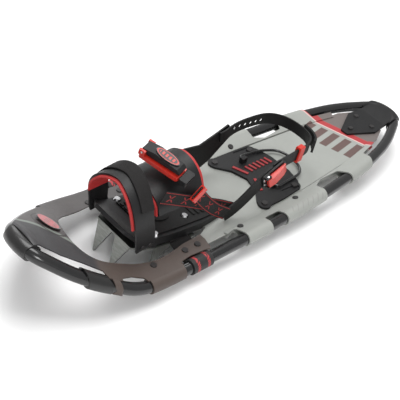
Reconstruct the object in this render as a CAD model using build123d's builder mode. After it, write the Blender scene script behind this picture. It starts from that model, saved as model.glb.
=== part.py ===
from math import cos, radians, sin, tan

import os

from build123d import *

os.makedirs("parts", exist_ok=True)

# Snowshoe for the left foot, in millimetres.
# +Y points to the toe, +X to the wearer's right, +Z up. The origin is under the middle,
# on the ground that the heel crampon's teeth touch.

# Frame tube, round and bent from one length
tube_r = 8.4
tube_wall = 1.2
tube_gap = 0.15
half_length = 370.5
rail_half_width = 89.0
rail_height = 21.7
nose_height = 91.7
tail_height = 46.3
frame_corners = [
    (0.0, half_length, nose_height),
    (19.7, half_length, nose_height),
    (61.4, 320.0, 58.0),
    (rail_half_width, 252.0, 26.5),
    (rail_half_width, 205.0, rail_height),
    (rail_half_width, -40.0, 25.9),
    (76.0, -215.5, 35.5),
    (57.7, -300.5, 41.2),
    (22.7, -half_length, tail_height),
    (0.3, -half_length, tail_height),
]
cap_wall = 2.2
sleeve_r = tube_r + tube_gap

# Deck sheets
deck_thick = 1.8
deck_below = 1.0
belt_reach = 24.0
belt_lean = 20.0
hole_rear_y = 84.0
deck_meet_y = 126.0

# Binding bed, tilted toe up about the pivot strap
pivot_y = 150.0
pivot_z = 30.0
bed_pitch = 9.1
bed = Plane(
    origin=(0, pivot_y, pivot_z),
    x_dir=(1, 0, 0),
    z_dir=(0, -sin(radians(bed_pitch)), cos(radians(bed_pitch))),
)
bed_side = Plane(origin=bed.origin, x_dir=bed.y_dir, z_dir=(1, 0, 0))
strap_width = 34.0
strap_thick = 3.0
base_half = 46.0
base_under = 1.7
base_top = 14.0
grip_top = 17.5
steel = 2.7
crampon_top = -1.7
screw_places = [(39.0, 44.0), (-39.0, 44.0), (23.6, -25.0), (-23.6, -25.0)]
screw_r = 2.5
screw_hole_r = 2.65
webbing = 2.2
shell = 2.6

# Heel plate and heel lifter
heel_screws = [(53.5, -10.8), (-53.5, -10.8), (48.3, -80.7), (-48.3, -80.7)]
heel_plate_thick = 3.6
bail_r = 2.1
bail_bore_r = 2.16
bail_y = -50.0
bail_z = 36.4
bail_lug_x = 32.0


def bend_radii(points, end_share=0.45):
    """The largest comfortable radius for each bend of a route."""
    radii = []
    for i in range(1, len(points) - 1):
        before = Vector(*points[i]) - Vector(*points[i - 1])
        after = Vector(*points[i + 1]) - Vector(*points[i])
        first = end_share if i == 1 else 0.45
        last = end_share if i == len(points) - 2 else 0.45
        reach = min(first * before.length, last * after.length)
        radii.append(reach / tan(radians(before.get_angle(after)) / 2))
    return radii


def export(piece, name):
    """Labels a finished piece and writes it to its own file."""
    piece.part.label = name
    export_step(piece.part, f"parts/{name}.step")
    print(name, len(piece.part.solids()), round(piece.part.volume))


def round_bar(points, radius, end_share=0.45):
    """A round bar along straight runs and tangent arcs."""
    with BuildPart() as bar:
        with BuildLine() as path:
            FilletPolyline(*points, radius=bend_radii(points, end_share))
        with BuildSketch(Plane(origin=path.line @ 0, z_dir=path.line % 0)):
            Circle(radius)
        sweep(path=path.line)
    return bar


def frame_bar(radius):
    """A round bar along the right half of the frame."""
    return round_bar(frame_corners, radius, 0.9)


def whole_bar(radius):
    """A solid round bar along the whole frame, closed at the tail."""
    half = frame_bar(radius)
    with BuildPart() as bar:
        add(half.part)
        mirror(about=Plane.YZ)
        with Locations(Location((0, -half_length, tail_height), (0, 90, 0))):
            Cylinder(radius, 2)
    return bar


def stretches(bar, boxes):
    """The stretches of a bar inside some boxes, given as centre and size."""
    with BuildPart() as cutter:
        for centre, size in boxes:
            with Locations(centre):
                Box(*size)
    with BuildPart() as pieces:
        add(bar.part)
        add(cutter.part, mode=Mode.INTERSECT)
    return pieces


def sleeves(bar, boxes):
    """Sleeves on the frame tube: stretches of a bar with the tube's room taken out."""
    solid = stretches(bar, boxes)
    with BuildPart() as shells:
        add(solid.part)
        add(tube_room.part, mode=Mode.SUBTRACT)
    return shells


# The frame's centreline, sampled so that the deck can follow it
with BuildLine() as frame_path:
    FilletPolyline(*frame_corners, radius=bend_radii(frame_corners, 0.9))
frame_wire = frame_path.wire()
frame_samples = [frame_wire @ (i / 160) for i in range(161)]


def rail(y):
    """Half width and height of the frame's centreline at a distance y along the shoe."""
    for a, b in zip(frame_samples, frame_samples[1:]):
        if a.Y >= y >= b.Y and a.Y > b.Y:
            part = (a.Y - y) / (a.Y - b.Y)
            return a.X + part * (b.X - a.X), a.Z + part * (b.Z - a.Z)
    return 0.0, (nose_height if y > 0 else tail_height)


def both_sides(points):
    """A closed plan outline from the points of its right half, front to back."""
    return points + [(-x, y) for x, y in reversed(points) if x > 0]


# Frame
tube_outer = frame_bar(tube_r)
tube_inner = frame_bar(tube_r - tube_wall)
with BuildPart() as frame_tube:
    add(tube_outer.part)
    add(tube_inner.part, mode=Mode.SUBTRACT)
    mirror(about=Plane.YZ)
export(frame_tube, "frame_tube")

tube_room = whole_bar(sleeve_r)
cap_bar = whole_bar(sleeve_r + cap_wall)
nose_box = ((0, half_length, nose_height), (40, 60, 60))
nose_cap = sleeves(cap_bar, [nose_box])
export(nose_cap, "nose_cap")

nose_collar = sleeves(cap_bar, [((-60, 305, 60), (120, 26, 100))])
export(nose_collar, "nose_collar")

toe_strap_collars = sleeves(cap_bar, [((0, pivot_y, rail_height), (240, strap_width, 40))])
export(toe_strap_collars, "toe_strap_collars")


# Rear deck: a sheet at the tube's middle height whose lobes are belts round the rails
def rail_belt():
    """Both edges of the rear deck: up from the sheet, round the tube and back under."""
    start = Vector(*frame_corners[4]) * 0.5 + Vector(*frame_corners[5]) * 0.5
    finish = Vector(*frame_corners[6]) * 0.24 + Vector(*frame_corners[7]) * 0.76
    with BuildPart() as belt:
        with BuildLine() as path:
            FilletPolyline(start, *frame_corners[5:7], finish, radius=bend_radii(frame_corners, 0.9)[4:6])
        with BuildSketch(Plane(origin=path.line @ 0, x_dir=(1, 0, 0), z_dir=path.line % 0)):
            for radius, reach, mode in (
                (sleeve_r + deck_thick, -belt_reach, Mode.ADD),
                (sleeve_r, 4.0 - belt_reach, Mode.SUBTRACT),
            ):
                touch_x = -radius * sin(radians(belt_lean))
                touch_z = radius * cos(radians(belt_lean))
                end = touch_z - tan(radians(belt_lean)) * (touch_x - reach)
                with BuildLine():
                    Polyline((touch_x, touch_z), (reach, end), (reach, -end), (touch_x, -touch_z))
                    ThreePointArc((touch_x, touch_z), (radius, 0), (touch_x, -touch_z))
                make_face(mode=mode)
        sweep(path=path.line)
        mirror(about=Plane.YZ)
    return belt


rear_ys = [deck_meet_y + 8 - 46.5 * i for i in range(11)]
rear_outline = both_sides(
    [(0, hole_rear_y), (24, 86), (44, 98), (58, 131), (74, 130), (76, 100), (68, 64), (104, 64), (104, 17),
     (77, 15), (77, -14), (104, -18), (102, -106), (68, -109), (60, -128), (62, -166), (96, -178),
     (90, -229), (56, -238), (46, -285), (30, -320), (0, -328)]
)
lobes = rail_belt()
with BuildPart() as rear_deck:
    with BuildSketch(Plane.YZ):
        with BuildLine():
            under = Spline(*[(y, rail(y)[1] - deck_below) for y in rear_ys])
            over = Spline(*[(y, rail(y)[1] - deck_below + deck_thick) for y in rear_ys])
            Line(under @ 0, over @ 0)
            Line(under @ 1, over @ 1)
        make_face()
    extrude(amount=69, both=True)
    with BuildSketch(Plane.XY):
        with BuildLine():
            Polyline((-72, 140), (72, 140), (66, 0), (50, -226), (38, -335), (-38, -335), (-50, -226), (-66, 0),
                     close=True)
        make_face()
    extrude(amount=120, mode=Mode.INTERSECT)
    add(lobes.part)
    with BuildSketch(Plane.XY):
        Polygon(*rear_outline, align=None)
        fillet(vertices().filter_by(lambda v: abs(v.X) > 40), 3.5)
    extrude(amount=120, mode=Mode.INTERSECT)
    with Locations(*[(x, y, 20) for x in (69.5, -69.5) for y in (55.0, -60.0)]):
        Cylinder(2.2, 60, mode=Mode.SUBTRACT)
    with Locations(*[(x, y, 30) for x, y in heel_screws]):
        Cylinder(screw_hole_r, 60, mode=Mode.SUBTRACT)
export(rear_deck, "rear_deck")

# Front deck: a crowned nose panel and two arms along the toe hole, resting on the tube
crown = {122: 0.4, 180: 0.4, 236: 1.0, 262: 5.0, 288: 10.0, 312: 13.0, 336: 11.0, 354: 6.0, 364: 2.5}
deck_wraps = sleeves(
    whole_bar(sleeve_r + deck_thick),
    [((0, 208, 30), (240, 56, 60)), ((0, 283, 45), (240, 9, 80)), ((80, 255, 30), (60, 60, 80))],
)
toe_hole = [(-59, 160), (-63, 190), (-62, 214), (-56, 236), (-50, 262), (-46, 286), (-24, 304), (4, 302),
            (33, 290), (51, 264), (59, 238), (63, 211), (61, 180), (59, 160), (54, 118), (-54, 118)]
front_outline = [
    (-50, 118), (-84, 126), (-82, 136), (-80, 160), (-82, 178), (-104, 181), (-104, 236), (-82, 240), (-75, 256),
    (-76, 272), (-90, 279), (-82, 289), (-62, 293), (-47, 318), (-36, 338), (-20, 356), (-19, 372), (19, 372),
    (30, 368), (60, 335), (80, 300), (104, 262), (104, 181), (82, 178), (80, 160), (82, 136), (84, 126), (50, 118),
]
nose_room = stretches(whole_bar(sleeve_r + cap_wall + 0.2), [((0, half_length, nose_height), (40.6, 60, 60))])
crown_ys = sorted(crown)
section_ys = [122, 136, 150, 165, 180, 194, 208, 222, 236, 249, 262, 275, 288, 300, 312, 324, 336, 345, 354, 364]


def crown_rise(y):
    """How far the middle of the front deck rises above its edges."""
    for a, b in zip(crown_ys, crown_ys[1:]):
        if a <= y <= b:
            return crown[a] + (crown[b] - crown[a]) * (y - a) / (b - a)
    return crown[crown_ys[-1]]


def seat(y):
    """Half width of the frame and the height of a sheet's underside laid on it."""
    (x, z), (ahead_x, ahead_z), (back_x, back_z) = rail(y), rail(y + 3), rail(y - 3)
    along = Vector(ahead_x - back_x, 6, ahead_z - back_z).normalized()
    lift = min((1 - along.X ** 2) ** 0.5 / along.Y, 1.3)
    return x, z + sleeve_r * lift + 0.1


with BuildPart() as front_deck:
    for y in section_ys:
        x, z = seat(y)
        rise = crown_rise(y)
        with BuildSketch(Plane(origin=(0, y, z), x_dir=(1, 0, 0), z_dir=(0, -1, 0))):
            with BuildLine():
                low = ThreePointArc((-x, 0), (0, rise), (x, 0))
                high = ThreePointArc((-x, deck_thick), (0, rise + deck_thick), (x, deck_thick))
                Line(low @ 0, high @ 0)
                Line(low @ 1, high @ 1)
            make_face()
    loft()
    add(deck_wraps.part)
    with BuildSketch(Plane.XY):
        Polygon(*front_outline, align=None)
        fillet(vertices().filter_by(lambda v: abs(v.X) > 70), 3)
        with BuildLine():
            Spline(*toe_hole, periodic=True)
        make_face(mode=Mode.SUBTRACT)
    extrude(amount=130, mode=Mode.INTERSECT)
    add(nose_room.part, mode=Mode.SUBTRACT)
    with Locations(*[(x, y, 30) for x in (69, -69) for y in (214, 160, 138)]):
        Cylinder(2.2, 60, mode=Mode.SUBTRACT)
export(front_deck, "front_deck")


def deck_top(x, y):
    """Height of the front deck's upper face."""
    half, height = seat(y)
    return height + deck_thick + crown_rise(y) * (1 - (x / half) ** 2)


def studs(places, head_r, head_h, shank_r=0.0, shank_l=0.0):
    """Screws or rivets, each given as its head's underside and its outward direction."""
    with BuildPart() as group:
        for position, direction in places:
            with BuildSketch(Plane(origin=position, z_dir=direction)):
                Circle(head_r)
            extrude(amount=head_h, taper=18)
            if shank_l > 0:
                with BuildSketch(Plane(origin=position, z_dir=direction)):
                    Circle(shank_r)
                extrude(amount=-shank_l)
    return group


def belt_top(x, y):
    """Height of the leaning part of a rear deck belt."""
    half, height = rail(y)
    outer = sleeve_r + deck_thick
    lean = radians(belt_lean)
    return height + outer * cos(lean) - tan(lean) * (half - x - outer * sin(lean))


# Nose emblem, a plain oval badge lying on the crown of the nose panel
emblem_x = 22.0
emblem_y = 314.0
emblem_plane = Plane(
    origin=(emblem_x, emblem_y, deck_top(emblem_x, emblem_y) + 1.2),
    x_dir=(1, 0, -0.12),
    z_dir=(0.12, -0.52, 0.85),
)
with BuildPart() as nose_emblem:
    with BuildSketch(emblem_plane):
        Ellipse(20, 13)
    extrude(amount=1.6)
    chamfer(faces().sort_by(Axis.Z)[-1].edges(), 0.5)
export(nose_emblem, "nose_emblem")

front_rivets = [((x, y, deck_top(69, y) + 0.3), (0, 0, 1)) for x in (69, -69) for y in (214.0, 160.0, 138.0)]
rear_rivets = [((side * 69.5, y, belt_top(69.5, y) + 0.1), (-side * sin(radians(belt_lean)), 0, cos(radians(belt_lean))))
               for side in (1, -1) for y in (55.0, -60.0)]
export(studs(front_rivets, 4.6, 1.4, 1.9, 3.0), "front_deck_rivets")
export(studs(rear_rivets, 4.6, 1.4, 1.9, 5.0), "rear_deck_rivets")

# Tail cap, a moulded shield on the end of the deck with a sleeve round the tail
tail_z = [rail(y)[1] + deck_thick - deck_below + 0.3 for y in (-256.0, -330.0)]
tail_outline = [(7, -257), (30, -303), (27, -332), (24, -366), (-24, -366), (-27, -332), (-30, -303), (-7, -257)]
tail_bar = stretches(cap_bar, [((0, -half_length, tail_height), (58, 60, 60))])
with BuildPart() as tail_cap:
    with BuildSketch(Plane.YZ):
        Polygon((-256, tail_z[0]), (-330, tail_z[1]), (-366, tail_z[1] + 3), (-366, tail_z[1] + 12),
                (-352, tail_z[1] + 9), (-332, tail_z[1] + 4), (-256, tail_z[0] + 3), align=None)
    extrude(amount=40, both=True)
    with BuildSketch(Plane.XY):
        Polygon(*tail_outline, align=None)
        fillet(vertices().filter_by(lambda v: v.Y > -340), 4)
    extrude(amount=130, mode=Mode.INTERSECT)
    add(tail_bar.part)
    add(tube_room.part, mode=Mode.SUBTRACT)
export(tail_cap, "tail_cap")
tail_rivets = [((x, y, rail(y)[1] + 4.9), (0, 0, 1)) for x, y in ((0, -273), (17.1, -308.7), (-17.1, -308.7))]
export(studs(tail_rivets, 4.4, 1.5), "tail_cap_rivets")

# Heel plate, a butterfly plate screwed to the rear deck, with the lifter's two lugs
heel_slope = (rail(-95)[1] - rail(-5)[1]) / 90
heel_bed = Plane(
    origin=(0, bail_y, rail(bail_y)[1] + deck_thick - deck_below + 0.5),
    x_dir=(1, 0, 0),
    z_dir=(0, heel_slope, 1),
)
heel_outline = both_sides([(0, 22), (26, 30), (46, 47), (61, 45), (61, 4), (58, -34), (44, -44), (20, -50), (0, -50)])
heel_lobes = [(x, y - bail_y) for x, y in heel_screws]
with BuildPart() as heel_plate:
    with BuildSketch(heel_bed):
        Polygon(*heel_outline, align=None)
        fillet(vertices().filter_by(lambda v: abs(v.X) > 10), 4)
        with Locations(*heel_lobes):
            Circle(10)
    extrude(amount=heel_plate_thick)
    with BuildSketch(heel_bed.offset(heel_plate_thick)):
        with Locations(*[(side * 52, -18) for side in (1, -1)]):
            SlotOverall(34, 9, rotation=86)
    extrude(amount=-1.4, mode=Mode.SUBTRACT)
    with BuildSketch(heel_bed.offset(1)):
        with Locations((bail_lug_x, 0), (-bail_lug_x, 0)):
            Rectangle(7, 10)
    extrude(amount=11.6)
    with Locations(Location((0, bail_y, bail_z), (0, 90, 0))):
        Cylinder(bail_bore_r, 90, mode=Mode.SUBTRACT)
    with BuildSketch(heel_bed):
        with Locations(*heel_lobes):
            Circle(screw_hole_r)
    extrude(amount=20, both=True, mode=Mode.SUBTRACT)
export(heel_plate, "heel_plate")

heel_top = heel_bed.offset(heel_plate_thick)
heel_screw_places = [((heel_top * Pos(x, y, 0.05)).position, heel_top.z_dir) for x, y in heel_lobes]
export(studs(heel_screw_places, 5.0, 1.8, screw_r - 0.2, 8.0), "heel_plate_screws")

# Grip bars, rubber inlays on the heel plate
with BuildPart() as heel_grip_bars:
    with BuildSketch(heel_top.offset(0.05)):
        for side in (1, -1):
            with Locations(*[(side * 15, 4 - 8.4 * i) for i in range(6)]):
                Rectangle(14, 3.6, rotation=side * 12)
            with Locations((side * 19, 18)):
                Rectangle(26, 4.4, rotation=side * 22)
    extrude(amount=1.3)
export(heel_grip_bars, "heel_grip_bars")

# Heel lifter, a bent wire whose ends turn in the two lugs
lug_inner = bail_lug_x - 3.0
bail_route = [
    (-lug_inner, bail_y, bail_z), (-41, bail_y, bail_z), (-35, -121, bail_z), (20, -124, bail_z),
    (37, -92, bail_z), (41, bail_y, bail_z), (lug_inner, bail_y, bail_z),
]
heel_lifter = round_bar(bail_route, bail_r)
export(heel_lifter, "heel_lifter")

# Heel crampon, a steel channel under the rear deck with two toothed walls
heel_teeth = [(-12, 23.4)]
for i in range(4):
    heel_teeth += [(-14 - 22 * i, 13), (-22 - 22 * i, 0), (-26 - 22 * i, 0)]
heel_teeth += [(-98, 13), (-98, 26.6)]
with BuildPart() as heel_crampon:
    with BuildSketch(Plane.YZ.offset(24)):
        Polygon(*heel_teeth, align=None)
    extrude(amount=steel)
    mirror(about=Plane.YZ)
    with BuildSketch(heel_bed.offset(-3.2)):
        with Locations((0, -5)):
            Rectangle(51, 84)
    extrude(amount=-2.4)
export(heel_crampon, "heel_crampon")

# Toe strap, webbing from the rail collars to the binding; its middle is clamped in the binding
with BuildPart() as toe_strap_ends:
    with BuildSketch(Plane.XZ.offset(-pivot_y)):
        Polygon((47.8, pivot_z - 1.5), (78.0, 19.8), (78.0, 22.8), (47.8, pivot_z + 1.5), align=None)
        mirror(about=Plane.YZ)
    extrude(amount=strap_width / 2, both=True)
export(toe_strap_ends, "toe_strap_ends")

with BuildPart() as toe_strap_core:
    with BuildSketch(bed.offset(-strap_thick / 2)):
        Rectangle(2 * 47.3, strap_width)
    extrude(amount=strap_thick)
export(toe_strap_core, "toe_strap_core")

# Binding base, a moulded footbed with an upturned front lip
base_outline = both_sides([(0, 94), (30, 91), (44, 80), (base_half, 62), (base_half, 6), (42, -50), (38, -85),
                           (26, -98), (0, -99)])
with BuildPart() as binding_base:
    with BuildSketch(bed_side):
        with BuildLine():
            Polyline((40, base_under), (-46, base_under), (-52, 4.0), (-99, 11.9), (-99, base_top), (50, base_top))
            lip_top = Spline((50, base_top), (72, 17.5), (90, 27), tangents=[(1, 0), (1, 0.6)])
            lip_under = Spline((40, base_under), (68, 8.5), (93, 22), tangents=[(1, 0), (1, 0.6)])
            Line(lip_top @ 1, lip_under @ 1)
        make_face()
    extrude(amount=60, both=True)
    with BuildSketch(bed):
        Polygon(*base_outline, align=None)
        fillet(vertices().filter_by(lambda v: abs(v.X) > 10), 5)
    extrude(amount=60, both=True, mode=Mode.INTERSECT)
    with BuildSketch(bed.offset(base_under + 0.5)):
        with Locations(*screw_places):
            Circle(7)
    extrude(amount=crampon_top - base_under - 0.4)
    with BuildSketch(bed):
        with Locations(*screw_places):
            Circle(screw_hole_r)
    extrude(amount=60, both=True, mode=Mode.SUBTRACT)
export(binding_base, "binding_base")

# Grip pad, a ribbed rubber sheet on the footbed
pad_outline = both_sides([(0, 49), (34, 49), (40, 46), (40, 5), (37, -48), (33, -82), (22, -93), (0, -94)])
with BuildPart() as footbed_grip:
    with BuildSketch(bed.offset(base_top + 0.1)):
        Polygon(*pad_outline, align=None)
        fillet(vertices().filter_by(lambda v: abs(v.X) > 10), 3)
    extrude(amount=1.9)
    with BuildSketch(bed.offset(base_top + 1.5)):
        with Locations(*[(0, -86 + 9 * i) for i in range(6)]):
            Rectangle(54, 3.6)
        with Locations((0, 12)):
            Circle(21)
            Circle(17.5, mode=Mode.SUBTRACT)
        with Locations((0, 42)):
            with GridLocations(9, 7, 7, 2):
                Rectangle(5.5, 4)
    extrude(amount=grip_top - base_top - 1.5)
    with BuildSketch(bed.offset(base_top)):
        with Locations(*screw_places):
            Circle(5.8)
    extrude(amount=20, mode=Mode.SUBTRACT)
export(footbed_grip, "footbed_grip")

screw_seat = bed.offset(base_top + 0.05)
base_screw_places = [((screw_seat * Pos(x, y, 0)).position, bed.z_dir) for x, y in screw_places]
export(studs(base_screw_places, 5.2, 3.9, screw_r, 21.0), "base_screws")

with BuildPart() as base_nuts:
    with BuildSketch(bed.offset(crampon_top - steel - 0.1)):
        with Locations(*screw_places):
            RegularPolygon(4.4, 6)
            Circle(screw_hole_r, mode=Mode.SUBTRACT)
    extrude(amount=-3.6)
export(base_nuts, "base_nuts")

# Toe crampon, one bent steel plate with a pair of front teeth and two pairs of side teeth
wall_x = 45.6
tooth_dir = bed.y_dir * 0.205 - bed.z_dir * 0.979
tooth_root = (bed * Pos(0, 74, crampon_top - steel / 2)).position
tooth_length = (tooth_root.Z - 0.3) / -tooth_dir.Z
tooth_plane = Plane(origin=tooth_root, x_dir=(1, 0, 0), z_dir=Vector(1, 0, 0).cross(tooth_dir))
with BuildPart() as toe_crampon:
    with BuildSketch(bed.offset(crampon_top - steel)):
        Polygon(*both_sides([(0, 75.5), (34, 75.5), (42, 62), (wall_x, 46), (wall_x, -32), (0, -34)]), align=None)
    extrude(amount=steel)
    with BuildSketch(tooth_plane):
        Polygon((3, -1), (33, -1), (19, tooth_length), (16.5, tooth_length), align=None)
        mirror(about=Plane.YZ)
    extrude(amount=steel / 2, both=True)
    for side in (1, -1):
        with BuildSketch(bed_side.offset(side * wall_x)):
            Polygon((6, -2), (44, -2), (41, -28), (38.5, -28), align=None)
            Polygon((-32, -2), (0, -2), (-24, -26), (-26.5, -26), align=None)
        extrude(amount=steel / 2, both=True)
    with BuildSketch(bed):
        with Locations(*screw_places):
            Circle(screw_hole_r)
    extrude(amount=12, both=True, mode=Mode.SUBTRACT)
export(toe_crampon, "toe_crampon")


def band(stations, width, thick):
    """A flat strap: each station is a point on its centreline and the direction across it."""
    points = [Vector(*point) for point, _ in stations]
    with BuildPart() as strap:
        for i, (point, across) in enumerate(stations):
            along = points[min(i + 1, len(points) - 1)] - points[max(i - 1, 0)]
            side = Vector(*across)
            side = (side - along * (side.dot(along) / along.dot(along))).normalized()
            with BuildSketch(Plane(origin=point, x_dir=side, z_dir=along.normalized())):
                Rectangle(width, thick)
        loft()
    return strap


def hoop(right_half, across_side, across_top):
    """Stations of a symmetric hoop from its right half, foot to crown."""
    top = right_half[-1][2]
    foot = right_half[0][2]
    stations = []
    for x, y, z in right_half:
        share = ((z - foot) / (top - foot)) ** 2
        across = tuple(a + (b - a) * share for a, b in zip(across_side, across_top))
        stations.append(((x, y, z), across))
    return stations + [((-p[0], p[1], p[2]), a) for p, a in reversed(stations[:-1])]


def grown(stations, centre_z, by, shift):
    """The same hoop a little larger or smaller round a centre line, and shifted across its width."""
    moved = []
    for (x, y, z), across in stations:
        scale = 1 + by / Vector(x, 0, z - centre_z).length
        point = Vector(x * scale, y, centre_z + (z - centre_z) * scale) + Vector(*across).normalized() * shift
        moved.append(((point.X, point.Y, point.Z), across))
    return moved


def upper_part(strap, height):
    """What a strap has above a height."""
    with BuildPart() as piece:
        add(strap.part)
        with Locations((0, 150, height + 100)):
            Box(300, 300, 200, mode=Mode.INTERSECT)
    return piece


# Toe arch, the hoop over the toes, with its soft lining and the webbing over it
arch_stations = hoop(
    [(47.8, 213, 46), (48.2, 217, 66), (47.4, 221, 86), (43, 223, 104), (31, 222, 121), (16, 220, 131), (0, 218, 134)],
    (0, 1, 0.1), (0, 0.96, -0.26),
)
toe_arch = band(arch_stations, 30, shell)
export(toe_arch, "toe_arch")
toe_lining = upper_part(band(grown(arch_stations, 70, -3.5, 2.5), 31, 3.2), 84)
export(toe_lining, "toe_lining")
toe_webbing = upper_part(band(grown(arch_stations, 70, 3.2, -5.5), 19, webbing), 96)
export(toe_webbing, "toe_webbing")
arch_rivet_places = [((side * 50.2, y, z), (side, 0, 0)) for side in (1, -1) for y, z in ((208, 50), (220, 51))]
export(studs(arch_rivet_places, 3.4, 1.3), "toe_arch_rivets")

# Instep shell and the soft pad under it
instep_stations = hoop([(42, 157, 86), (37, 157, 101), (25, 157, 113), (10, 157, 119), (0, 157, 120)],
                       (0, 1, 0), (0, 0.95, -0.3))
instep_shell = band(instep_stations, 74, shell)
export(instep_shell, "instep_shell")
instep_pad = band(grown(instep_stations, 60, -4.6, -2.0), 82, 5.0)
export(instep_pad, "instep_pad")

# Side webbing from the toe arch and from the instep buckle to the near ankle
lower_webbing = band(
    [((-44, 196, 119), (0, 0.4, 1)), ((-45.6, 160, 101), (0, 0.4, 1)), ((-46.9, 122, 81), (0, 0.45, 1)),
     ((-45.2, 84, 60), (0, 0.6, 1)), ((-45, 52, 41), (0, 0.6, 1))],
    19, webbing,
)
export(lower_webbing, "lower_webbing")
upper_webbing = band(
    [((-51.6, 144, 112), (0, -0.75, 0.66)), ((-51.8, 124, 89), (0, -0.72, 0.7)), ((-52.3, 100, 66), (0, -0.65, 0.76)),
     ((-52.8, 72, 46), (0, -0.55, 0.83))],
    19, webbing,
)
export(upper_webbing, "upper_webbing")

# Instep buckle, a tray with a cam lever that carries a plain oval badge
buckle_dir = Vector(-0.93, -0.31, -0.16).normalized()
buckle_up = Vector(-0.18, 0.05, 0.98)
buckle_up = (buckle_up - buckle_dir * buckle_up.dot(buckle_dir)).normalized()
buckle_bed = Plane(origin=(-4, 166, 134), x_dir=buckle_dir, z_dir=buckle_up)
lever_hinge = (-26.0, 8.6)
pin_r = 1.6
pin_bore_r = 1.66
with BuildPart() as instep_buckle:
    with BuildSketch(buckle_bed.offset(-2)):
        RectangleRounded(60, 25, 4)
    extrude(amount=6)
    with BuildSketch(buckle_bed.offset(3)):
        with Locations((lever_hinge[0], 10.8), (lever_hinge[0], -10.8)):
            Rectangle(9, 3.4)
    extrude(amount=8.5)
    with Locations(buckle_bed * Location((lever_hinge[0], 0, lever_hinge[1]), (90, 0, 0))):
        Cylinder(pin_bore_r, 40, mode=Mode.SUBTRACT)
export(instep_buckle, "instep_buckle")
with BuildPart() as instep_lever:
    with BuildSketch(Plane(origin=buckle_bed.origin, x_dir=buckle_bed.x_dir, z_dir=-buckle_bed.y_dir)):
        with BuildLine():
            Polyline((-28.5, 6), (-28.5, 12), (-10, 15.5), (24, 12.6), (29, 9), (29, 6.6), (-12, 5.4), close=True)
        make_face()
    extrude(amount=8.6, both=True)
    with Locations(buckle_bed * Location((lever_hinge[0], 0, lever_hinge[1]), (90, 0, 0))):
        Cylinder(pin_bore_r, 40, mode=Mode.SUBTRACT)
export(instep_lever, "instep_lever")
with BuildPart() as instep_lever_pin:
    with Locations(buckle_bed * Location((lever_hinge[0], 0, lever_hinge[1]), (90, 0, 0))):
        Cylinder(pin_r, 26)
export(instep_lever_pin, "instep_lever_pin")
badge_bed = buckle_bed * Location((4, 0, 14.9), (0, 4.5, 0))
with BuildPart() as lever_badge:
    with BuildSketch(Plane(badge_bed)):
        Ellipse(18, 7.6)
    extrude(amount=1.2)
export(lever_badge, "lever_badge")

# Keeper and slider where the instep strap leaves the buckle
keeper_bed = Plane(origin=buckle_bed.origin + buckle_dir * 37, x_dir=buckle_dir, z_dir=buckle_up)
with BuildPart() as strap_keeper:
    with BuildSketch(keeper_bed.offset(-3)):
        RectangleRounded(11, 23, 2)
    extrude(amount=8)
    with BuildSketch(keeper_bed.offset(-0.6)):
        Rectangle(20, 18)
    extrude(amount=3.4, mode=Mode.SUBTRACT)
export(strap_keeper, "strap_keeper")
slider_bed = Plane(origin=(-51.7, 142.5, 110.4), x_dir=(0, -0.75, 0.66), z_dir=(-0.03, -0.66, -0.75))
with BuildPart() as strap_slider:
    with BuildSketch(slider_bed):
        RectangleRounded(24.5, 6.4, 1.2)
        Rectangle(20.5, 3.2, mode=Mode.SUBTRACT)
    extrude(amount=8)
export(strap_slider, "strap_slider")

# Far ankle arm, a flexible plate with a window and a slot
arm_outline = [(84, 38), (82, 62), (72, 88), (40, 84), (14, 93), (-14, 104), (-22, 80), (11, 50), (36, 36), (60, 33)]
with BuildPart() as ankle_arm:
    with BuildSketch(Plane.YZ.offset(46.8)):
        Polygon(*arm_outline, align=None)
        fillet(vertices(), 3)
        Polygon((64, 48), (61, 66), (45, 63), (48, 50), align=None, mode=Mode.SUBTRACT)
        with Locations((-3, 93)):
            SlotOverall(13, 3.6, rotation=155, mode=Mode.SUBTRACT)
    extrude(amount=shell)
export(ankle_arm, "ankle_arm")

# Near ankle arm, the heel buckle on it and the holed heel strap round the heel
near_arm = band(
    [((-48, 70, 37), (0, 0.6, 0.8)), ((-50, 50, 47), (0, 0.6, 0.8)), ((-51.5, 30, 63), (0, 0.6, 0.8)),
     ((-52, 10, 79), (0, 0.5, 0.86)), ((-52, -8, 88), (0, 0.4, 0.9))],
    23, 2.8,
)
export(near_arm, "near_arm")
heel_strap_route = [
    (48.6 - 4.2, 4, 88), (44.2, -20, 94), (44, -50, 97), (42.5, -80, 96), (36, -103, 93), (20, -117.5, 90.5),
    (0, -121.5, 89.5), (-20, -117.5, 90.5), (-36, -104, 92.5), (-45, -82, 95.5), (-48.6, -54, 96.5),
    (-49, -30, 94), (-49, -12, 89),
]
heel_strap = band([(point, (0, 0, 1)) for point in heel_strap_route], 18, 2.4)
with BuildPart() as heel_strap_holed:
    add(heel_strap.part)
    for i in range(6):
        with Locations(Location((44, -24 - 11 * i, 95.5 + 0.4 * i - 0.13 * i * i), (0, 90, 0))):
            Cylinder(2.9, 16, mode=Mode.SUBTRACT)
export(heel_strap_holed, "heel_strap")
strap_tab = band(
    [((-44.5, -103, 93.5), (0, 0, 1)), ((-34, -116, 92.5), (0, 0, 1)), ((-20, -124, 91.5), (0, 0, 1)),
     ((-5, -128, 90), (0, 0, 1))],
    20, 3.4,
)
export(strap_tab, "strap_tab")
clip_bed = Plane(origin=(-47.9, -60, 96.4), x_dir=(0, 0, 1), z_dir=(0.12, -0.99, -0.03))
with BuildPart() as strap_clip:
    with BuildSketch(clip_bed):
        RectangleRounded(25, 9, 1.5)
        Rectangle(19.4, 4.2, mode=Mode.SUBTRACT)
    extrude(amount=12)
export(strap_clip, "strap_clip")

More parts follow.
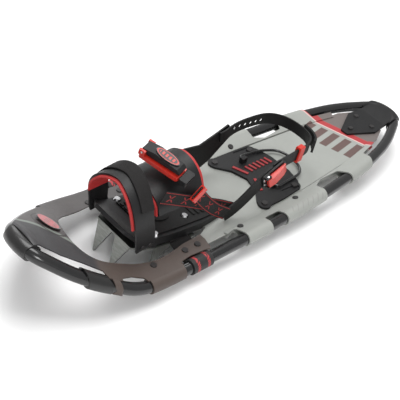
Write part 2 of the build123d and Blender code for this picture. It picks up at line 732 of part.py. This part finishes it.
heel_buckle_bed = Plane(origin=(-53.8, -8, 86), x_dir=(0, -0.9, 0.42), z_dir=(-1, 0, 0))
heel_hinge = (-14.0, 6.4)
heel_pin_r = 1.2
heel_bore_r = 1.26
with BuildPart() as heel_buckle:
    with BuildSketch(heel_buckle_bed):
        RectangleRounded(44, 24, 4)
    extrude(amount=2.6)
    with BuildSketch(heel_buckle_bed.offset(2)):
        with Locations((heel_hinge[0], 10.2), (heel_hinge[0], -10.2)):
            Rectangle(8, 3.2)
    extrude(amount=6.4)
    with Locations(heel_buckle_bed * Location((heel_hinge[0], 0, heel_hinge[1]), (90, 0, 0))):
        Cylinder(heel_bore_r, 40, mode=Mode.SUBTRACT)
export(heel_buckle, "heel_buckle")
with BuildPart() as heel_lever:
    with BuildSketch(Plane(origin=heel_buckle_bed.origin, x_dir=heel_buckle_bed.x_dir, z_dir=-heel_buckle_bed.y_dir)):
        with BuildLine():
            Polyline((-16.2, 4.3), (-16.2, 8.9), (-6, 10.6), (12, 8.5), (20, 5.5), (20, 3.6), (-6, 3.1), close=True)
        make_face()
    extrude(amount=8.2, both=True)
    with Locations(heel_buckle_bed * Location((heel_hinge[0], 0, heel_hinge[1]), (90, 0, 0))):
        Cylinder(heel_bore_r, 40, mode=Mode.SUBTRACT)
export(heel_lever, "heel_lever")
with BuildPart() as heel_lever_pin:
    with Locations(heel_buckle_bed * Location((heel_hinge[0], 0, heel_hinge[1]), (90, 0, 0))):
        Cylinder(heel_pin_r, 24.6)
export(heel_lever_pin, "heel_lever_pin")
buckle_rivet_places = [((heel_buckle_bed * Pos(-19, y, 2.65)).position, (-1, 0, 0)) for y in (5, -5)]
export(studs(buckle_rivet_places, 2.1, 1.2), "heel_buckle_rivets")
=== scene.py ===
# %% [markdown]
# # A snowshoe, dressed in Blender
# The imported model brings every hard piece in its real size. This script keeps that frame,
# replaces the soft pieces with modelled webbing and foam, and gives each piece its finish.

# %% Load the frame
import math
import bmesh
import bpy
from mathutils import Matrix, Vector


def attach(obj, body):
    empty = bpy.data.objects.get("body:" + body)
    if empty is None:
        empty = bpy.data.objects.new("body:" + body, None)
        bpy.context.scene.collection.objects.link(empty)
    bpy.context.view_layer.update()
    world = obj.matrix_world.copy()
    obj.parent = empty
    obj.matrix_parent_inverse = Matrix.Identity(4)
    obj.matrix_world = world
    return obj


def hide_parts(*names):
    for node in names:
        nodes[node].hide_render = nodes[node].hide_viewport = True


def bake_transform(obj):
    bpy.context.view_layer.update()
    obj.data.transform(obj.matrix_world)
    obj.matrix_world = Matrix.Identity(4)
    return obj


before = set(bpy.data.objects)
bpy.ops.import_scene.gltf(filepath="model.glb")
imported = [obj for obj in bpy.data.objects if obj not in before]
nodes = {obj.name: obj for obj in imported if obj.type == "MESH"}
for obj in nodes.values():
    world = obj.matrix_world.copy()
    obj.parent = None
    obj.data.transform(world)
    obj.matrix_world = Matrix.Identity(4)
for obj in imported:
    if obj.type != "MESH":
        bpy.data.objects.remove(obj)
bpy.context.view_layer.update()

print("CAD pieces", len(nodes))

# %% [markdown]
# ## The camera
# A longish lens, above and in front of the toe on the wearer's left, rolled a little,
# so that the shoe runs from the lower left to the upper right.

# %% Camera
camera_place = Vector((-0.5559, 0.7705, 0.7374))
view_back = Vector((-0.4870, 0.6149, 0.6203)).normalized()
roll = math.radians(14.4)
level_right = Vector((0, 0, 1)).cross(view_back).normalized()
level_up = view_back.cross(level_right)
camera_x = math.cos(roll) * level_right + math.sin(roll) * level_up
camera_y = view_back.cross(camera_x)
camera_data = bpy.data.cameras.new("camera")
camera_data.lens = 72.8
camera_data.sensor_width = 36
camera = bpy.data.objects.new("camera", camera_data)
camera_turn = Matrix((camera_x, camera_y, view_back)).transposed().to_4x4()
camera.matrix_world = Matrix.Translation(camera_place) @ camera_turn
bpy.context.collection.objects.link(camera)
bpy.context.scene.camera = camera
print("camera at", tuple(camera_place))

# %% [markdown]
# ## Finishes
# Every finish is a small node network on a Principled shader. The patterns read Object
# coordinates, because each piece lies in the shoe's own frame, so a pattern can be placed in
# metres along the shoe.


# %% A short way to write node networks
class Finish:
    """A material, and short calls that add nodes to it and return their output sockets."""

    def __init__(self, name, rough=0.5, metal=0.0, coat=0.0, gloss=0.5):
        self.material = bpy.data.materials.new(name)
        self.material.use_nodes = True
        self.nodes = self.material.node_tree.nodes
        self.links = self.material.node_tree.links
        self.shader = self.nodes["Principled BSDF"]
        self.shader.inputs["Roughness"].default_value = rough
        self.shader.inputs["Metallic"].default_value = metal
        self.shader.inputs["Coat Weight"].default_value = coat
        self.shader.inputs["Specular IOR Level"].default_value = gloss
        self.place = self.nodes.new("ShaderNodeTexCoord").outputs["Object"]
        split = self.node("ShaderNodeSeparateXYZ", {0: self.place})
        self.x, self.y, self.z = split.outputs

    def node(self, kind, inputs, **settings):
        made = self.nodes.new(kind)
        for key, value in settings.items():
            setattr(made, key, value)
        for key, value in inputs.items():
            self.put(made.inputs[key], value)
        return made

    def put(self, socket, value):
        if isinstance(value, bpy.types.NodeSocket):
            self.links.new(value, socket)
        else:
            socket.default_value = value

    def math(self, operation, a, b=0.0):
        return self.node("ShaderNodeMath", {0: a, 1: b}, operation=operation).outputs[0]

    def times(self, a, b):
        return self.math("MULTIPLY", a, b)

    def size(self, value):
        return self.math("ABSOLUTE", value)

    def steps(self, value):
        """A ramp that climbs from 0 to 1 again and again."""
        return self.math("FRACT", value)

    def oval(self, ratio_long, ratio_short):
        """The distance from an oval's middle, 1 on its edge, from the share along each half axis."""
        squares = [self.math("POWER", self.size(ratio), 2.0) for ratio in (ratio_long, ratio_short)]
        return self.math("SQRT", self.math("ADD", *squares))

    def flat_oval(self, middle_x, middle_y, half_x, half_y):
        """An oval on the deck, in metres."""
        return self.oval(self.line(ax=1 / half_x, shift=-middle_x / half_x),
                         self.line(ay=1 / half_y, shift=-middle_y / half_y))

    def line(self, ax=0.0, ay=0.0, az=0.0, shift=0.0):
        """ax*x + ay*y + az*z + shift."""
        total = shift
        for factor, socket in ((ax, self.x), (ay, self.y), (az, self.z)):
            if factor:
                total = self.math("ADD", self.math("MULTIPLY", socket, factor), total)
        return total

    def above(self, value, edge, soft=0.0006):
        """0 below an edge and 1 above it, with a soft border."""
        raised = self.math("ADD", self.math("MULTIPLY", value, 1 / soft), 0.5 - edge / soft)
        return self.node("ShaderNodeClamp", {0: raised}).outputs[0]

    def below(self, value, edge, soft=0.0006):
        return self.math("SUBTRACT", 1.0, self.above(value, edge, soft))

    def between(self, value, low, high, soft=0.0006):
        return self.times(self.above(value, low, soft), self.below(value, high, soft))

    def noise(self, scale, detail=3.0, place=None):
        inputs = {"Vector": place or self.place, "Scale": scale, "Detail": detail}
        return self.node("ShaderNodeTexNoise", inputs).outputs[0]

    def blend(self, share, a, b):
        made = self.node("ShaderNodeMix", {0: share}, data_type="RGBA")
        self.put(made.inputs[6], a)
        self.put(made.inputs[7], b)
        return made.outputs[2]

    def cloudy(self, colour, amount=0.25, scale=60.0):
        """A colour that varies softly over the piece."""
        dark = tuple(c * (1 - amount) for c in colour[:3]) + (1,)
        light = tuple(min(c * (1 + amount), 1) for c in colour[:3]) + (1,)
        return self.blend(self.noise(scale, 4.0), dark, light)

    def colour(self, value):
        self.put(self.shader.inputs["Base Color"], value)

    def roughness(self, low, high, scale=300.0):
        spread = self.node("ShaderNodeMapRange", {0: self.noise(scale), 3: low, 4: high})
        self.links.new(spread.outputs[0], self.shader.inputs["Roughness"])

    def bump(self, height, distance=0.0004, strength=0.5):
        inputs = {"Height": height, "Distance": distance, "Strength": strength}
        made = self.node("ShaderNodeBump", inputs)
        self.links.new(made.outputs[0], self.shader.inputs["Normal"])


def dress(finish, *names):
    """Gives a finish to CAD pieces."""
    for name in names:
        for slot in nodes[name].material_slots:
            slot.material = finish.material


# %% [markdown]
# ## Black tube, clips and mouldings
# The tube is powder coated gloss black, so it shows long pale lights. The mouldings are a
# satin nylon with a fine spark-eroded grain, and the arms are a softer rubber.

# %% Black finishes
tube_black = Finish("tube_black", coat=0.3)
tube_black.colour(tube_black.cloudy((0.006, 0.006, 0.0065), 0.2))
tube_black.roughness(0.2, 0.27, 60.0)
tube_black.bump(tube_black.noise(2500.0), 0.00002, 0.1)

clip_black = Finish("clip_black", coat=0.2)
clip_black.colour(clip_black.cloudy((0.009, 0.0085, 0.0085), 0.2))
clip_black.roughness(0.28, 0.42, 260.0)
clip_black.bump(clip_black.noise(2500.0), 0.00002, 0.1)

nylon_black = Finish("nylon_black", gloss=0.3)
nylon_black.colour(nylon_black.cloudy((0.009, 0.009, 0.0095), 0.3, 90.0))
nylon_black.roughness(0.36, 0.55, 400.0)
nylon_black.bump(nylon_black.noise(1600.0), 0.00015, 0.4)

rubber_black = Finish("rubber_black", gloss=0.25)
rubber_black.colour(rubber_black.cloudy((0.007, 0.007, 0.007), 0.3, 120.0))
rubber_black.roughness(0.45, 0.65, 300.0)
rubber_black.bump(rubber_black.noise(1100.0), 0.0002, 0.4)

rivet_black = Finish("rivet_black", metal=0.4)
rivet_black.colour(rivet_black.cloudy((0.03, 0.028, 0.028), 0.3, 500.0))
rivet_black.roughness(0.3, 0.5, 700.0)

dress(tube_black, "frame_tube", "heel_lifter")
dress(clip_black, "nose_cap", "nose_collar")
dress(nylon_black, "tail_cap", "heel_plate", "binding_base", "toe_arch", "instep_shell")
dress(nylon_black, "heel_buckle", "strap_keeper", "instep_lever")
dress(rubber_black, "footbed_grip", "ankle_arm", "near_arm", "heel_strap", "strap_tab")
dress(rivet_black, "toe_arch_rivets", "front_deck_rivets", "rear_deck_rivets")
dress(rivet_black, "tail_cap_rivets", "heel_plate_screws")
print("black finishes", 5)

# %% [markdown]
# ## Steel
# The crampons are laser-cut sheet with a dull rolled face, and the screws and pins are
# bright. Long thin noise along the rolling direction gives the brushed look.

# %% Steel finishes
crampon_steel = Finish("crampon_steel", metal=1.0)
rolling = {"Vector": crampon_steel.place, "Scale": (1.0, 14.0, 1.0)}
rolled = crampon_steel.node("ShaderNodeMapping", rolling).outputs[0]
streaks = crampon_steel.noise(90.0, 5.0, rolled)
crampon_steel.colour(crampon_steel.blend(streaks, (0.14, 0.145, 0.135, 1), (0.36, 0.37, 0.35, 1)))
crampon_steel.roughness(0.28, 0.5, 160.0)
crampon_steel.bump(crampon_steel.noise(500.0, 3.0, rolled), 0.0001, 0.4)

bright_steel = Finish("bright_steel", metal=1.0)
bright_steel.colour(bright_steel.cloudy((0.72, 0.72, 0.73), 0.1, 400.0))
bright_steel.roughness(0.12, 0.3, 500.0)

dress(crampon_steel, "toe_crampon", "heel_crampon")
dress(bright_steel, "base_screws", "base_nuts", "instep_lever_pin", "heel_lever_pin", "heel_buckle_rivets")
print("steel finishes", 2)

# %% [markdown]
# ## Red mouldings
# The buckles, the slider and the clip are bright red nylon. The nose badge and the lever's
# badge carry plain coloured bars in place of any mark.

# %% Red finishes
red_nylon = Finish("red_nylon", coat=0.15)
red_nylon.colour(red_nylon.cloudy((0.50, 0.022, 0.012), 0.18, 80.0))
red_nylon.roughness(0.28, 0.42, 300.0)
red_nylon.bump(red_nylon.noise(1500.0), 0.0001, 0.3)

grip_crimson = Finish("grip_crimson")
grip_crimson.colour(grip_crimson.cloudy((0.30, 0.018, 0.022), 0.25, 200.0))
grip_crimson.roughness(0.5, 0.7, 300.0)
grip_crimson.bump(grip_crimson.noise(1800.0), 0.0002, 0.4)

nose_badge = Finish("nose_badge", coat=0.2)
reach = nose_badge.flat_oval(0.022, 0.314, 0.020, 0.0112)
dashes = nose_badge.times(
    nose_badge.above(nose_badge.steps(nose_badge.line(ay=230.0)), 0.62, 0.1),
    nose_badge.above(nose_badge.steps(nose_badge.line(ax=60.0, ay=55.0)), 0.45, 0.1))
marks = nose_badge.times(dashes, nose_badge.below(reach, 0.72, 0.05))
face = nose_badge.blend(marks, (0.33, 0.02, 0.03, 1), (0.03, 0.012, 0.012, 1))
nose_badge.colour(nose_badge.blend(nose_badge.above(reach, 0.88, 0.03), face, (0.02, 0.014, 0.013, 1)))
nose_badge.roughness(0.3, 0.45, 300.0)

dress(red_nylon, "instep_buckle", "strap_slider", "strap_clip", "heel_lever")
dress(grip_crimson, "heel_grip_bars")
dress(nose_badge, "nose_emblem")

lever_oval = Finish("lever_oval", coat=0.2)
buckle_x = Vector((-0.93, -0.31, -0.16)).normalized()
buckle_z = Vector((-0.18, 0.05, 0.98))
buckle_z = (buckle_z - buckle_x * buckle_z.dot(buckle_x)).normalized()
buckle_y = buckle_z.cross(buckle_x)
badge_place = Vector((-0.004, 0.166, 0.134)) + buckle_x * 0.004
badge_axes = ((buckle_x, 0.018), (buckle_y, 0.0076))
ratios = [lever_oval.line(*(axis / half), shift=-axis.dot(badge_place) / half) for axis, half in badge_axes]
spread = lever_oval.oval(*ratios)
ring = lever_oval.between(spread, 0.80, 0.92, 0.04)
ticks = lever_oval.times(
    lever_oval.above(lever_oval.steps(lever_oval.times(ratios[0], 3.4)), 0.45, 0.1),
    lever_oval.below(lever_oval.size(ratios[1]), 0.36, 0.05))
ticks = lever_oval.times(ticks, lever_oval.below(spread, 0.66, 0.03))
red_parts = lever_oval.math("MAXIMUM", ring, ticks)
lever_oval.colour(lever_oval.blend(red_parts, (0.012, 0.011, 0.011, 1), (0.48, 0.03, 0.02, 1)))
lever_oval.roughness(0.3, 0.45, 300.0)
dress(lever_oval, "lever_badge")
print("red finishes", 4)

# %% [markdown]
# ## The deck
# The deck is a coated fabric sheet, printed in zones. Each zone is a mask in metres along
# the shoe, and a fine weave shows through the coating. Plain slanted bars stand where a real
# shoe carries lettering.

# %% Front deck
deck_front = Finish("deck_front")
toward_far = deck_front.above(deck_front.line(ax=1.0, ay=0.55, shift=-0.12), 0.0, 0.06)
across_rib = deck_front.line(ax=-0.869, ay=1.0, shift=-0.3201)
near_brown = deck_front.cloudy((0.068, 0.050, 0.042), 0.12, 40.0)
far_grey = deck_front.cloudy((0.066, 0.060, 0.059), 0.12, 40.0)
sheet_colour = deck_front.blend(toward_far, near_brown, far_grey)
past_toe_hole = deck_front.above(deck_front.line(ax=0.35, ay=1.0), 0.276, 0.008)
outside = deck_front.times(deck_front.above(across_rib, 0.004, 0.001), past_toe_hole)
sheet_colour = deck_front.blend(outside, sheet_colour, (0.036, 0.035, 0.037, 1))
rib = deck_front.times(deck_front.between(across_rib, -0.004, 0.0035, 0.0012), past_toe_hole)
sheet_colour = deck_front.blend(rib, sheet_colour, (0.17, 0.19, 0.17, 1))
badge_border = deck_front.between(deck_front.flat_oval(0.022, 0.3125, 0.029, 0.0175), 0.93, 1.03, 0.03)
sheet_colour = deck_front.blend(badge_border, sheet_colour, (0.030, 0.026, 0.025, 1))
deck_front.colour(sheet_colour)
deck_front.roughness(0.45, 0.62, 200.0)
deck_front.bump(deck_front.noise(700.0, 4.0), 0.0002, 0.35)
dress(deck_front, "front_deck")

# %% Rear deck
deck_rear = Finish("deck_rear")
along = deck_rear.line(ax=-0.283, ay=1.0)
stripe_front = -0.2524
ground = deck_rear.cloudy((0.29, 0.30, 0.28), 0.07, 30.0)
stripe = deck_rear.between(along, stripe_front - 0.012, stripe_front)
pale = deck_rear.between(along, stripe_front, stripe_front + 0.0022)
tail_zone = deck_rear.below(along, stripe_front - 0.012)
bars = deck_rear.above(deck_rear.steps(deck_rear.line(ax=46.0, ay=6.0)), 0.42, 0.05)
bars_length = deck_rear.between(along, stripe_front + 0.008, stripe_front + 0.052)
bars_room = deck_rear.times(bars_length, deck_rear.between(deck_rear.x, -0.052, 0.058))
lines = deck_rear.above(deck_rear.steps(deck_rear.line(ay=90.0, ax=70.0)), 0.8, 0.1)
lines_length = deck_rear.between(deck_rear.y, -0.1, -0.03)
lines_room = deck_rear.times(lines_length, deck_rear.between(deck_rear.x, -0.094, -0.084))
painted = deck_rear.blend(deck_rear.times(bars, bars_room), ground, (0.105, 0.062, 0.056, 1))
painted = deck_rear.blend(deck_rear.times(lines, lines_room), painted, (0.26, 0.26, 0.25, 1))
painted = deck_rear.blend(stripe, painted, (0.36, 0.03, 0.035, 1))
painted = deck_rear.blend(pale, painted, (0.62, 0.42, 0.40, 1))
painted = deck_rear.blend(tail_zone, painted, (0.135, 0.115, 0.108, 1))
deck_rear.colour(painted)
deck_rear.roughness(0.42, 0.6, 150.0)
deck_rear.bump(deck_rear.noise(800.0, 4.0), 0.00015, 0.3)
dress(deck_rear, "rear_deck")
print("deck finishes", 2)

# %% [markdown]
# ## Toe strap collars
# Where the hanging strap wraps the rail, its webbing shows two red stitched bands.

# %% Collar finish
collar_webbing = Finish("collar_webbing")
front_band = collar_webbing.between(collar_webbing.y, 0.139, 0.1435)
rear_band = collar_webbing.between(collar_webbing.y, 0.1565, 0.161)
thread = collar_webbing.above(collar_webbing.steps(collar_webbing.line(az=420.0, ay=200.0)), 0.35, 0.15)
stitches = collar_webbing.times(collar_webbing.math("ADD", front_band, rear_band), thread)
collar_dark = collar_webbing.cloudy((0.012, 0.012, 0.012), 0.3, 400.0)
collar_webbing.colour(collar_webbing.blend(stitches, collar_dark, (0.42, 0.03, 0.035, 1)))
collar_webbing.roughness(0.45, 0.7, 500.0)
weave = collar_webbing.math("SINE", collar_webbing.line(ay=5200.0))
collar_webbing.bump(weave, 0.0002, 0.4)
dress(collar_webbing, "toe_strap_collars")

# %% [markdown]
# ## Webbing
# A strap is a flat ribbon swept along a route. Each ribbon starts as one edge across the
# strap that is extruded from station to station, then gets its thickness, and a UV map whose
# u runs across the strap and v along it in metres, so that stitching follows the strap.


# %% Ribbon maker
steps_between_stations = 10
cells_across = 6


def ribbon(name, stations, width, thickness, finish):
    """A strap through stations of (point, direction across), in millimetres."""
    shape = bmesh.new()
    uv_layer = shape.loops.layers.uv.new("strap")
    points = [Vector(point) * 0.001 for point, _ in stations]
    curve = []
    for i in range(len(points) - 1):
        before = points[max(i - 1, 0)]
        after = points[min(i + 2, len(points) - 1)]
        for k in range(steps_between_stations):
            t = k / steps_between_stations
            a, b = points[i], points[i + 1]
            slope_a, slope_b = (b - before) / 2, (after - a) / 2
            place = (a * (2 * t**3 - 3 * t**2 + 1) + slope_a * (t**3 - 2 * t**2 + t)
                     + b * (3 * t**2 - 2 * t**3) + slope_b * (t**3 - t**2))
            across = Vector(stations[i][1]).lerp(Vector(stations[i + 1][1]), t)
            curve.append((place, across))
    curve.append((points[-1], Vector(stations[-1][1])))
    half = width * 0.0005
    travelled = 0.0
    row_values = {}
    first = bmesh.ops.create_grid(shape, x_segments=cells_across, y_segments=1, size=0.5)["verts"]
    bmesh.ops.delete(shape, geom=[v for v in first if v.co.y > 0], context="VERTS")
    row = sorted((v for v in shape.verts), key=lambda v: v.co.x)
    for i, (place, across) in enumerate(curve):
        ahead = curve[min(i + 1, len(curve) - 1)][0] - curve[max(i - 1, 0)][0]
        side = (across - ahead * (across.dot(ahead) / ahead.length_squared)).normalized()
        if i:
            travelled += (place - curve[i - 1][0]).length
            edges = [e for e in shape.edges if e.verts[0] in row and e.verts[1] in row]
            grown = bmesh.ops.extrude_edge_only(shape, edges=edges)["geom"]
            new = [v for v in grown if isinstance(v, bmesh.types.BMVert)]
            row = [min(new, key=lambda v, o=old: (v.co - o.co).length) for old in row]
        for k, vert in enumerate(row):
            share = 2 * k / cells_across - 1
            vert.co = place + side * (half * share)
            row_values[vert] = (share, travelled)
    for face in shape.faces:
        for loop in face.loops:
            loop[uv_layer].uv = row_values[loop.vert]
    bmesh.ops.recalc_face_normals(shape, faces=shape.faces)
    mesh = bpy.data.meshes.new(name)
    shape.to_mesh(mesh)
    shape.free()
    mesh.materials.append(finish.material)
    strap = bpy.data.objects.new(name, mesh)
    bpy.context.collection.objects.link(strap)
    wall = strap.modifiers.new("thickness", "SOLIDIFY")
    wall.thickness = thickness * 0.001
    wall.offset = 0
    edge = strap.modifiers.new("soft_edge", "BEVEL")
    edge.width = min(thickness * 0.0003, 0.0006)
    edge.segments = 2
    edge.limit_method = "ANGLE"
    for polygon in mesh.polygons:
        polygon.use_smooth = True
    print(name, "length mm", round(travelled * 1000))
    return strap


# %% Webbing finishes
def webbing_finish(name, crosses):
    """Black webbing with a ribbed weave, and if asked two red stitched borders and red crosses."""
    made = Finish(name, gloss=0.2)
    uv = made.node("ShaderNodeUVMap", {}, uv_map="strap")
    parts = made.node("ShaderNodeSeparateXYZ", {0: uv.outputs[0]})
    across, run = parts.outputs[0], parts.outputs[1]
    base = made.cloudy((0.013, 0.012, 0.012), 0.3, 500.0)
    if crosses:
        border = made.between(made.size(across), 0.80, 0.89, 0.02)
        stitch = made.above(made.steps(made.times(run, 420.0)), 0.12, 0.1)
        cell = made.math("SUBTRACT", made.times(made.steps(made.times(run, 1 / 0.030)), 2.0), 1.0)
        squeezed = made.times(cell, 1.7)
        fold = made.math("SUBTRACT", made.size(squeezed), made.size(made.times(across, 1.15)))
        arms = made.below(made.size(fold), 0.13, 0.06)
        near = made.below(made.size(across), 0.5, 0.05)
        core = made.above(made.size(across), 0.1, 0.05)
        cross = made.times(made.times(arms, near), core)
        red = made.math("MAXIMUM", made.times(border, stitch), cross)
        base = made.blend(red, base, (0.33, 0.03, 0.03, 1))
    made.colour(base)
    made.roughness(0.6, 0.8, 600.0)
    ribs = made.math("SINE", made.times(run, 5200.0))
    cords = made.math("SINE", made.times(across, 40.0))
    made.bump(made.math("ADD", ribs, made.times(cords, 0.6)), 0.00018, 0.5)
    return made


printed_webbing = webbing_finish("printed_webbing", True)
plain_webbing = webbing_finish("plain_webbing", False)

# %% Side straps
lower = ribbon("side_strap_lower",
    [((-44, 196, 119), (0, 0.4, 1)), ((-45.6, 160, 101), (0, 0.4, 1)), ((-46.9, 122, 81), (0, 0.45, 1)),
     ((-45.2, 84, 60), (0, 0.6, 1)), ((-45, 52, 41), (0, 0.6, 1))], 19, 1.8, printed_webbing)
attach(lower, "binding")
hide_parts("lower_webbing")
upper = ribbon("side_strap_upper",
    [((-51.6, 144, 112), (0, -0.75, 0.66)), ((-51.8, 124, 89), (0, -0.72, 0.7)),
     ((-52.3, 100, 66), (0, -0.65, 0.76)), ((-52.8, 72, 46), (0, -0.55, 0.83))], 19, 1.8, printed_webbing)
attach(upper, "binding")
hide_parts("upper_webbing")

# %% [markdown]
# ## The hoop's own webbing and linings
# The pieces round the toe arch and the instep follow the same hoops as the moulded shells,
# a little outside or inside them.


# %% Hoop stations
def hoop(right_half, across_side, across_top, centre_z, grow, shift, cut):
    """Stations of a hoop above a height, from its right half, foot to crown, in millimetres."""
    foot, crown = right_half[0][2], right_half[-1][2]
    stations = []
    for x, y, z in right_half:
        share = ((z - foot) / (crown - foot)) ** 2
        across = Vector(across_side).lerp(Vector(across_top), share).normalized()
        scale = 1 + grow / math.hypot(x, z - centre_z)
        point = Vector((x * scale, y, centre_z + (z - centre_z) * scale)) + across * shift
        if point.z >= cut:
            stations.append((tuple(point), tuple(across)))
    return stations + [((-p[0], p[1], p[2]), a) for p, a in reversed(stations[:-1])]


arch_half = [(47.8, 213, 46), (48.2, 217, 66), (47.4, 221, 86), (43, 223, 104), (31, 222, 121),
             (16, 220, 131), (0, 218, 134)]
arch_tilt = ((0, 1, 0.1), (0, 0.96, -0.26))
instep_half = [(42, 157, 86), (37, 157, 101), (25, 157, 113), (10, 157, 119), (0, 157, 120)]
instep_tilt = ((0, 1, 0), (0, 0.95, -0.3))

arch_centre_z = 70
instep_centre_z = 60
toe_route = hoop(arch_half, *arch_tilt, arch_centre_z, 3.0, -5.5, 96)
toe_strap = ribbon("toe_strap_over", toe_route, 19, 1.7, plain_webbing)
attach(toe_strap, "binding")
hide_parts("toe_webbing")

# %% Foam linings
foam_red = Finish("foam_red")
foam_red.colour(foam_red.cloudy((0.40, 0.02, 0.02), 0.2, 150.0))
foam_red.roughness(0.55, 0.75, 400.0)
pores = foam_red.node("ShaderNodeTexVoronoi", {"Vector": foam_red.place, "Scale": 1500.0})
foam_red.bump(pores.outputs[0], 0.0003, 0.4)


def foam(name, stations, width, thickness):
    """A foam sheet whose border is rolled."""
    pad = ribbon(name, stations, width, thickness, foam_red)
    pad.modifiers["soft_edge"].width = thickness * 0.00038
    pad.modifiers["soft_edge"].segments = 4
    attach(pad, "binding")
    return pad


lining = foam("toe_arch_lining", hoop(arch_half, *arch_tilt, arch_centre_z, -3.3, 2.5, 84), 31, 3.0)
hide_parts("toe_lining")
pad = foam("instep_lining", hoop(instep_half, *instep_tilt, instep_centre_z, -4.4, -2.0, 80), 82, 4.6)
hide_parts("instep_pad")

# %% [markdown]
# ## The hanging strap
# The binding hangs on a strap across the toe hole. Each side of it bends between the rail
# and the binding as a ribbon with its modifiers applied, attached to neither body; the middle
# piece is attached to the binding.

# %% Hanging strap
for side, word in ((1, "right"), (-1, "left")):
    hanging = ribbon(f"hanging_strap_{word}",
        [((side * x, 150, z), (0, 1, 0)) for x, z in ((47.0, 30), (58, 27.4), (78, 21.3))],
        33, 2.4, plain_webbing)
    for modifier in list(hanging.modifiers):
        bpy.context.view_layer.objects.active = hanging
        hanging.select_set(True)
        bpy.ops.object.modifier_apply(modifier=modifier.name)
    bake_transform(hanging)
    if side == 1:
        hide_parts("toe_strap_ends")
middle_route = [((x, 150, 30), (0, 1, 0.16)) for x in (-47, 0, 47)]
middle = ribbon("hanging_strap_middle", middle_route, 33, 2.6, plain_webbing)
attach(middle, "binding")
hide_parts("toe_strap_core")

# %% [markdown]
# ## Light and floor
# A pale floor under the crampon tips, one broad soft light from above, a key from the left
# and a fill from the right give the soft studio look.

# %% Floor and lights
floor_shape = bmesh.new()
bmesh.ops.create_grid(floor_shape, x_segments=2, y_segments=2, size=4)
floor_mesh = bpy.data.meshes.new("floor")
floor_shape.to_mesh(floor_mesh)
floor_shape.free()
floor = bpy.data.objects.new("floor", floor_mesh)
bpy.context.collection.objects.link(floor)
floor_white = Finish("floor_white")
floor_white.colour(floor_white.cloudy((0.94, 0.94, 0.94), 0.01, 2.0))
floor_white.shader.inputs["Roughness"].default_value = 0.9
floor_mesh.materials.append(floor_white.material)


def soft_light(name, place, size, watts):
    """A square area light that faces the shoe's middle."""
    data = bpy.data.lights.new(name, "AREA")
    data.size = size
    data.energy = watts
    light = bpy.data.objects.new(name, data)
    light.location = place
    light.rotation_euler = (Vector((0, 0.05, 0.03)) - Vector(place)).to_track_quat("-Z", "Y").to_euler()
    bpy.context.collection.objects.link(light)


soft_light("top_light", (0.2, -0.1, 1.5), 1.1, 21)
soft_light("key_light", (-1.3, 1.0, 0.9), 0.5, 9)
soft_light("fill_light", (1.2, -0.6, 0.8), 0.7, 4)
world = bpy.data.worlds.new("studio")
world.use_nodes = True
world.node_tree.nodes["Background"].inputs[0].default_value = (1, 1, 1, 1)
world.node_tree.nodes["Background"].inputs[1].default_value = 0.6
bpy.context.scene.world = world
bpy.context.scene.view_settings.view_transform = "Standard"
